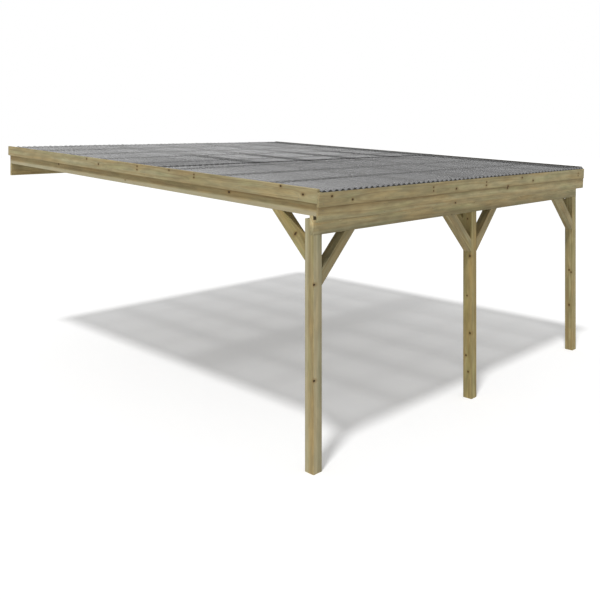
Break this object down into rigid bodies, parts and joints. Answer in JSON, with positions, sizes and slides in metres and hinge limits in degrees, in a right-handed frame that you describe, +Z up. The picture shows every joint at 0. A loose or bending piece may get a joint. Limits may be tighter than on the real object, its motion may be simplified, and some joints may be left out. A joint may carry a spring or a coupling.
{
  "type": "lean-to carport",
  "caption": "Open lean-to carport: a row of braced square posts and an eave beam, a ledger for a wall, low-pitch rafters and battens, fascia boards, corrugated translucent sheets.",
  "frame": {"origin": "centre of the back face of the wall ledger, where it lies on the wall", "axes": "+X along the wall from the near side to the far side, +Y into the wall, +Z up"},
  "size_m": [4.9, 5.6067, 2.5597],
  "materials": {
    "frame_timber": "pressure-treated pine, planed, greenish tan with brown knots",
    "board_timber": "pressure-treated pine boards, planed",
    "batten_timber": "pressure-treated pine, sawn",
    "roof_sheet": "smoke grey translucent corrugated plastic",
    "screw": "zinc-coated screws",
    "eaves_filler": "black closed-cell foam, cut to the wave"
  },
  "bodies": {
    "root": {"batten_1": "batten_timber", "batten_2": "batten_timber", "batten_3": "batten_timber", "batten_4": "batten_timber", "batten_5": "batten_timber", "batten_6": "batten_timber", "batten_7": "batten_timber", "batten_8": "batten_timber", "batten_9": "batten_timber", "brace_far_post": "frame_timber", "brace_middle_post_left": "frame_timber", "brace_middle_post_right": "frame_timber", "brace_near_post": "frame_timber", "eave_beam": "frame_timber", "eave_board_lower": "board_timber", "eave_board_upper": "board_timber", "post_far": "frame_timber", "post_middle": "frame_timber", "post_near": "frame_timber", "rafter_1": "frame_timber", "rafter_2": "frame_timber", "rafter_3": "frame_timber", "rafter_4": "frame_timber", "rafter_5": "frame_timber", "rafter_6": "frame_timber", "rafter_7": "frame_timber", "rafter_brace_far": "frame_timber", "rafter_brace_middle": "frame_timber", "rafter_brace_near": "frame_timber", "roof_sheet_lower_1": "roof_sheet", "roof_sheet_lower_2": "roof_sheet", "roof_sheet_lower_3": "roof_sheet", "roof_sheet_lower_4": "roof_sheet", "roof_sheet_lower_5": "roof_sheet", "roof_sheet_lower_6": "roof_sheet", "roof_sheet_upper_1": "roof_sheet", "roof_sheet_upper_2": "roof_sheet", "roof_sheet_upper_3": "roof_sheet", "roof_sheet_upper_4": "roof_sheet", "roof_sheet_upper_5": "roof_sheet", "roof_sheet_upper_6": "roof_sheet", "verge_board_far": "board_timber", "verge_board_near": "board_timber", "wall_ledger": "frame_timber"}
  },
  "joints": []
}
